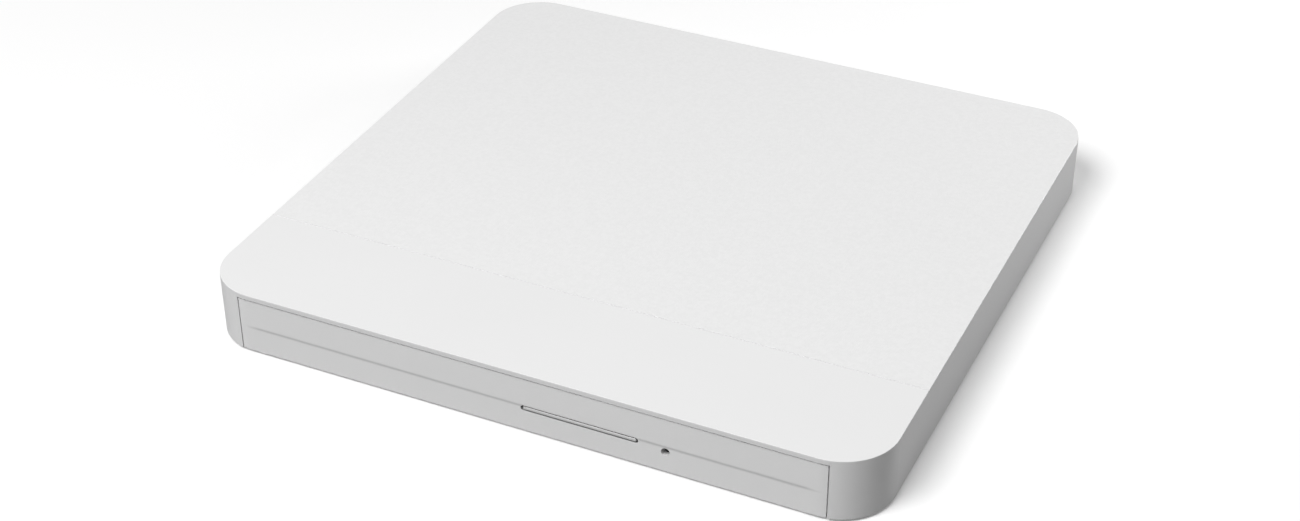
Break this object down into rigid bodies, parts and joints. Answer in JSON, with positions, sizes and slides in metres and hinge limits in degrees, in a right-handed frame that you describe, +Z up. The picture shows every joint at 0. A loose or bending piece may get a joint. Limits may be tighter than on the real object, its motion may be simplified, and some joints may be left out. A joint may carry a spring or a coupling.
{
  "type": "external slim optical disc drive",
  "caption": "Flat white external disc drive; the tray slides out on telescopic rails and carries a spinning hub, a sliding laser pickup, a sprung latch and an eject button.",
  "frame": {"origin": "centre of the case on the surface that it stands on", "axes": "+X to the right along the front face, -Y towards the user and the way the tray opens, +Z up"},
  "size_m": [0.144, 0.1376, 0.014],
  "materials": {
    "case_white": "fine satin white moulding",
    "base_white": "fine matt texture",
    "bezel_white": "satin white moulding",
    "button_white": "satin white moulding",
    "foot_rubber": "soft dull rubber",
    "sheet_steel": "zinc-coated sheet",
    "screw_steel": "dark plated steel",
    "bright_steel": "ground and polished",
    "tray_black": "fine matt texture",
    "slide_black": "slippery moulding",
    "board_green": "lacquered laminate",
    "chip_black": "moulded package",
    "socket_cream": "connector plastic",
    "cable_film": "printed film",
    "hub_black": "moulded hub",
    "grip_rubber": "soft ring",
    "cast_metal": "die-cast, bead-blasted",
    "lens_glass": "coated lens",
    "holder_black": "moulded",
    "copper_coil": "wound enamelled wire on steel",
    "brass_screw": "rolled thread",
    "lamp_lens": "clear package"
  },
  "bodies": {
    "case": {"top_cover": "case_white", "bottom_cover": "base_white", "foot_front_left": "foot_rubber", "foot_front_right": "foot_rubber", "foot_rear_left": "foot_rubber", "foot_rear_right": "foot_rubber", "case_screws": "screw_steel", "drive_chassis": "sheet_steel", "drive_top_plate": "sheet_steel", "chassis_screws": "screw_steel", "rail_guide_left": "slide_black", "rail_guide_right": "slide_black", "main_board": "board_green", "board_chips": "chip_black", "usb_shell": "bright_steel", "usb_tongue": "chip_black", "board_cable_socket": "socket_cream", "striker_pin": "bright_steel", "cable_lower": "cable_film"},
    "slide_rails": {"slide_rail_left": "bright_steel", "slide_rail_right": "bright_steel", "cable_fold": "cable_film"},
    "tray": {"tray": "tray_black", "tray_cover_plate": "sheet_steel", "plate_screws": "screw_steel", "traverse_frame": "sheet_steel", "damper_bushes": "grip_rubber", "damper_screws": "screw_steel", "guide_rod_front": "bright_steel", "guide_rod_rear": "bright_steel", "rod_holders": "holder_black", "stepper_motor": "sheet_steel", "motor_stator": "sheet_steel", "front_bezel": "bezel_white", "button_board": "board_green", "eject_switch": "chip_black", "status_lamp": "lamp_lens", "latch_spring": "bright_steel", "solenoid": "copper_coil", "tray_cable_socket": "socket_cream", "cable_upper": "cable_film", "ejector_spring": "bright_steel"},
    "spindle": {"turntable": "hub_black", "turntable_ring": "grip_rubber", "claw_springs": "bright_steel"},
    "hub_claw_1": {"hub_claw_1": "holder_black"},
    "hub_claw_2": {"hub_claw_2": "holder_black"},
    "hub_claw_3": {"hub_claw_3": "holder_black"},
    "pickup": {"pickup_body": "cast_metal", "pickup_yoke": "sheet_steel", "rack_follower": "slide_black", "suspension_wires": "bright_steel"},
    "lens": {"lens_holder": "holder_black", "objective_lens": "lens_glass"},
    "lead_screw": {"lead_screw": "brass_screw"},
    "eject_button": {"eject_button": "button_white"},
    "switch_plunger": {"switch_plunger": "socket_cream"},
    "latch": {"latch_lever": "slide_black"},
    "solenoid_plunger": {"solenoid_plunger": "bright_steel"},
    "ejector_plunger": {"ejector_plunger": "slide_black"}
  },
  "joints": [
    {"name": "rail_slide", "type": "slide", "parent": "case", "child": "slide_rails", "axis": [0, -1, 0], "range_m": [0, 0.063], "deforming": ["cable_lower"]},
    {"name": "tray_slide", "type": "slide", "parent": "slide_rails", "child": "tray", "axis": [0, -1, 0], "range_m": [0, 0.063], "deforming": ["cable_upper"]},
    {"name": "spindle_spin", "type": "hinge", "parent": "tray", "child": "spindle", "pos_m": [0, -0.003, 0.007], "axis": [0, 0, 1], "continuous": true},
    {"name": "claw_slide_1", "type": "slide", "parent": "spindle", "child": "hub_claw_1", "axis": [-1, 0, 0], "range_m": [0, 0.0008], "stiffness_N_per_m": 300, "deforming": ["claw_springs"]},
    {"name": "claw_slide_2", "type": "slide", "parent": "spindle", "child": "hub_claw_2", "axis": [0.5, -0.866, 0], "range_m": [0, 0.0008], "stiffness_N_per_m": 300, "deforming": ["claw_springs"]},
    {"name": "claw_slide_3", "type": "slide", "parent": "spindle", "child": "hub_claw_3", "axis": [0.5, 0.866, 0], "range_m": [0, 0.0008], "stiffness_N_per_m": 300, "deforming": ["claw_springs"]},
    {"name": "pickup_slide", "type": "slide", "parent": "tray", "child": "pickup", "axis": [-0.7071, -0.7071, 0], "range_m": [0, 0.0345]},
    {"name": "lead_screw_spin", "type": "hinge", "parent": "tray", "child": "lead_screw", "pos_m": [0.01188, -0.01488, 0.0061], "axis": [-0.7071, -0.7071, 0], "range_deg": [0, 4140.2]},
    {"name": "lens_focus", "type": "slide", "parent": "pickup", "child": "lens", "axis": [0, 0, 1], "range_m": [-0.0004, 0.0004], "stiffness_N_per_m": 40},
    {"name": "button_press", "type": "slide", "parent": "tray", "child": "eject_button", "axis": [0, 1, 0], "range_m": [0, 0.0004], "stiffness_N_per_m": 2000},
    {"name": "switch_press", "type": "slide", "parent": "tray", "child": "switch_plunger", "axis": [0, 1, 0], "range_m": [0, 0.0004]},
    {"name": "latch_swing", "type": "hinge", "parent": "tray", "child": "latch", "pos_m": [0.05, -0.06295, 0.005], "axis": [0, 0, -1], "range_deg": [0, 18], "deforming": ["latch_spring"]},
    {"name": "solenoid_pull", "type": "slide", "parent": "tray", "child": "solenoid_plunger", "axis": [0, 1, 0], "range_m": [0, 0.0039], "stiffness_N_per_m": 25},
    {"name": "ejector_push", "type": "slide", "parent": "tray", "child": "ejector_plunger", "axis": [0, 1, 0], "range_m": [0, 0.01], "deforming": ["ejector_spring"]}
  ],
  "couplings": [
    {"joint": "rail_slide", "follows": "tray_slide", "ratio": 1},
    {"joint": "lead_screw_spin", "follows": "pickup_slide", "rad_per_m": 2094.4},
    {"joint": "switch_press", "follows": "button_press", "ratio": 1},
    {"joint": "latch_swing", "follows": "solenoid_pull", "rad_per_m": 80.553},
    {"joint": "ejector_push", "follows": "tray_slide", "ratio": 0.15873}
  ]
}
